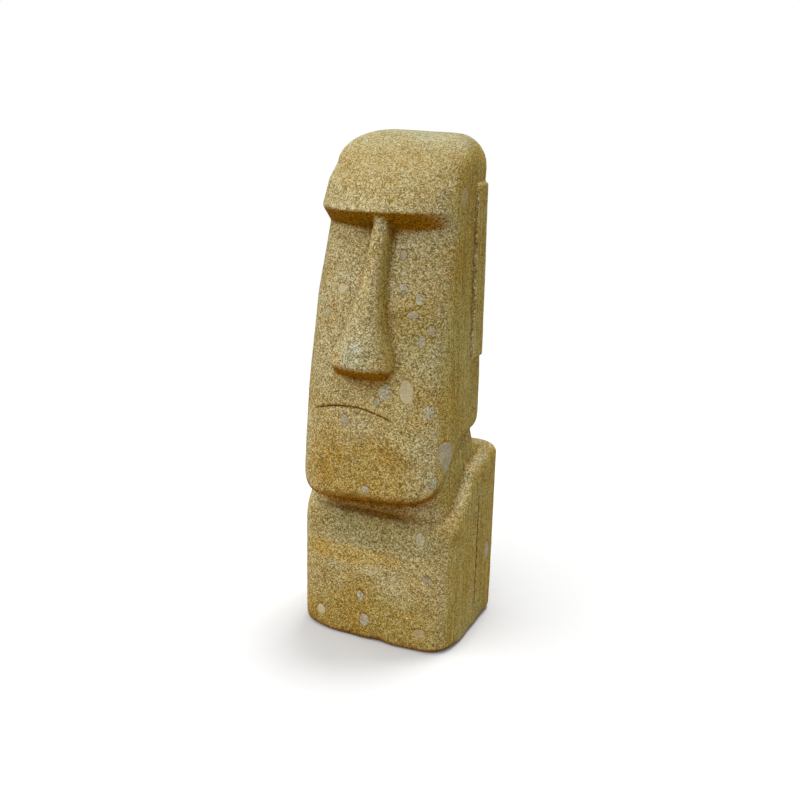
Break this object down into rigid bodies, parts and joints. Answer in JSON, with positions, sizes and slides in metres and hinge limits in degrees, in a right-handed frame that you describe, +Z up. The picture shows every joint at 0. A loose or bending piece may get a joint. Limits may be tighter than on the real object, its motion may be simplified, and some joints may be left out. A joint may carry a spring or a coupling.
{
  "type": "carved stone head statue",
  "caption": "Tall stylised stone head with a heavy brow, long nose and long ears on a short torso, cut from a block of pebbly volcanic tuff, standing on its flat base.",
  "frame": {"origin": "on the flat resting face at the bottom of the torso, under the middle of the head; the face's own middle is 3 mm towards -X", "axes": "+Z up, -Y the way the face looks, +X to the right as seen by someone facing the statue"},
  "size_m": [0.337, 0.3276, 1],
  "materials": {
    "tuff": "rough, hand-chiselled, open-grained and dusty",
    "pebble_cream": "dense and matte, dressed flush",
    "pebble_pale": "fine-grained and matte, dressed flush",
    "pebble_grey": "fine-grained and matte, dressed flush",
    "pebble_slate": "dense and matte, dressed flush",
    "pebble_tan": "smooth and matte, dressed flush"
  },
  "bodies": {
    "root": {"carved_block": "tuff", "cheek_pebble_cream": "pebble_cream", "lip_pebble_pale": "pebble_pale", "lip_pebble_white": "pebble_pale", "cheek_pebble_pale_upper": "pebble_pale", "cheek_pebble_pale_middle": "pebble_pale", "cheek_pebble_grey_wide": "pebble_grey", "cheek_pebble_grey_small": "pebble_grey", "cheek_pebble_grey_tall": "pebble_grey", "cheek_pebble_pale_left": "pebble_cream", "cheek_pebble_grey_left": "pebble_grey", "cheek_pebble_pale_lower": "pebble_pale", "bridge_pebble_grey": "pebble_grey", "chin_pebble_grey_upper": "pebble_slate", "chin_pebble_grey_front": "pebble_grey", "chest_pebble_grey": "pebble_grey", "torso_pebble_grey_middle": "pebble_slate", "torso_pebble_pale": "pebble_pale", "torso_pebble_grey_low": "pebble_grey", "torso_pebble_tan_low": "pebble_tan", "torso_pebble_cream_low": "pebble_cream", "jaw_pebble_grey": "pebble_grey", "chin_pebble_pale_corner": "pebble_pale", "temple_pebble_tan": "pebble_tan", "torso_pebble_grey_side": "pebble_grey", "side_pebble_cream": "pebble_cream", "side_pebble_grey": "pebble_grey", "nape_pebble_grey": "pebble_grey", "back_pebble_tan": "pebble_tan"}
  },
  "joints": []
}
